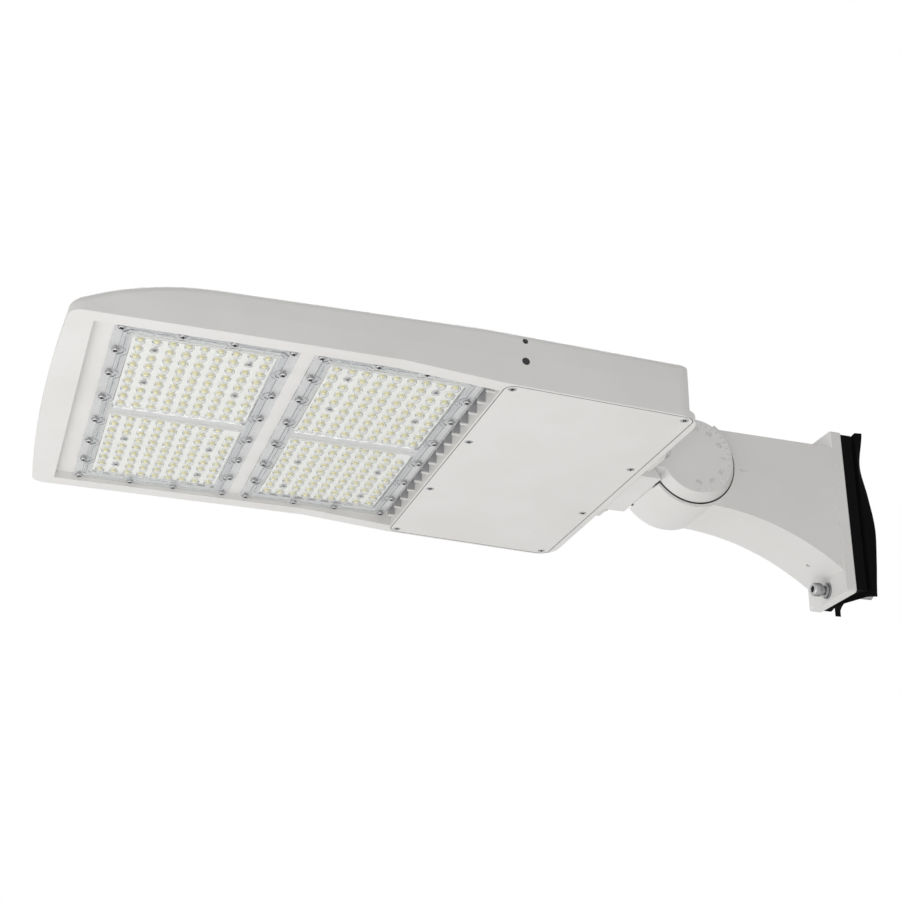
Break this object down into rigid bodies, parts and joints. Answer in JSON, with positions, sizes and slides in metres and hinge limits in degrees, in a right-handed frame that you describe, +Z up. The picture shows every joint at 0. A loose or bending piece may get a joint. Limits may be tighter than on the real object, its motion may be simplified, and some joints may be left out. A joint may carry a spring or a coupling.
{
  "type": "led street light",
  "caption": "Flat LED street light with clear lens panels, a screwed driver cover and a tilting knuckle on a cast arm that bolts to a round pole.",
  "frame": {"origin": "on the pole's face, midway between the two pole bolts", "axes": "+X along the arm into the pole, +Z up, +Y to the lamp's far side"},
  "size_m": [0.793, 0.35, 0.169],
  "materials": {
    "powder_coat": "satin white powder coat over die-cast aluminium",
    "lens": "clear moulded polycarbonate",
    "board": "white solder mask on an aluminium core",
    "phosphor": "yellow phosphor over the chip",
    "seal": "pale grey silicone",
    "saddle_rubber": "black moulded rubber",
    "screw_steel": "stainless steel",
    "driver_case": "plain aluminium case",
    "black_plastic": "moulded black plastic"
  },
  "bodies": {
    "arm": {"arm": "powder_coat", "pole_saddle": "saddle_rubber", "pole_bolts": "screw_steel", "pole_flat_washers": "screw_steel", "pole_spring_washers": "screw_steel"},
    "luminaire": {"housing": "powder_coat", "side_plugs": "black_plastic", "driver_cover": "powder_coat", "driver_cover_gasket": "seal", "driver_cover_screws": "screw_steel", "lens_panel_front": "lens", "lens_gasket_front": "seal", "lens_screws_front": "screw_steel", "led_board_front_near": "board", "led_chips_front_near": "phosphor", "led_board_front_far": "board", "led_chips_front_far": "phosphor", "lens_panel_rear": "lens", "lens_gasket_rear": "seal", "lens_screws_rear": "screw_steel", "led_board_rear_near": "board", "led_chips_rear_near": "phosphor", "led_board_rear_far": "board", "led_chips_rear_far": "phosphor", "led_driver_near": "driver_case", "led_driver_far": "driver_case", "surge_protector": "black_plastic", "terminal_block": "black_plastic", "tilt_bracket": "powder_coat", "bracket_gasket": "seal", "bracket_bolts": "screw_steel", "bracket_washers": "screw_steel", "cable_gland": "black_plastic", "pivot_bolt": "screw_steel", "pivot_washer": "screw_steel"}
  },
  "joints": [
    {"name": "tilt", "type": "hinge", "parent": "arm", "child": "luminaire", "pos_m": [-0.1744, 0, 0.0301], "axis": [0, 1, 0], "range_deg": [-5, 90]}
  ]
}
